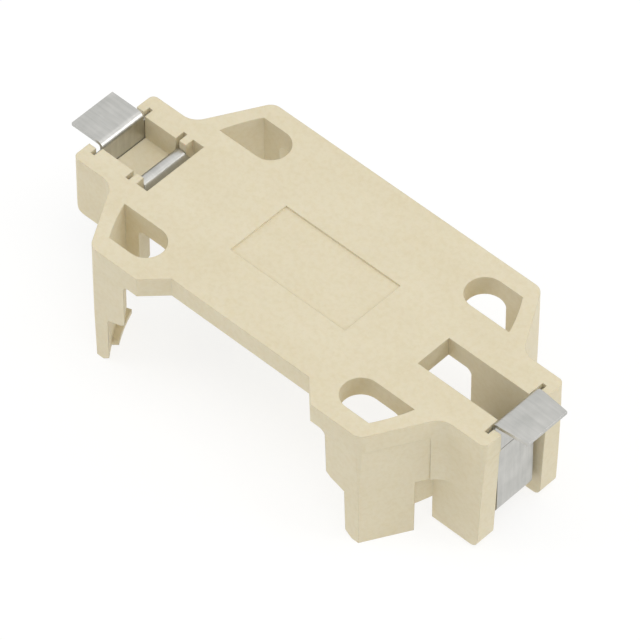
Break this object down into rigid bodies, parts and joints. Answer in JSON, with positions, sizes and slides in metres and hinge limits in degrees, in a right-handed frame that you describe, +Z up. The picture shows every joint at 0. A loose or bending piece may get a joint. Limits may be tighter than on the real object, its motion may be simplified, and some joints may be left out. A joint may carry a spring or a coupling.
{
  "type": "coin cell holder",
  "caption": "Low moulded coin cell holder for surface mounting, with a slotted hexagonal plate, hooked legs and sprung sheet contacts at its ends.",
  "frame": {"origin": "centre of the bounding box in plan, at the leg tips, which are the lowest points", "axes": "+X along the length, towards the positive contact; +Y towards the straight long edge; +Z up, out of the board face"},
  "size_m": [0.037, 0.016, 0.0101],
  "materials": {
    "moulding": "matte",
    "sheet": "satin"
  },
  "bodies": {
    "root": {"housing": "moulding", "positive_contact": "sheet", "negative_contact": "sheet"}
  },
  "joints": []
}
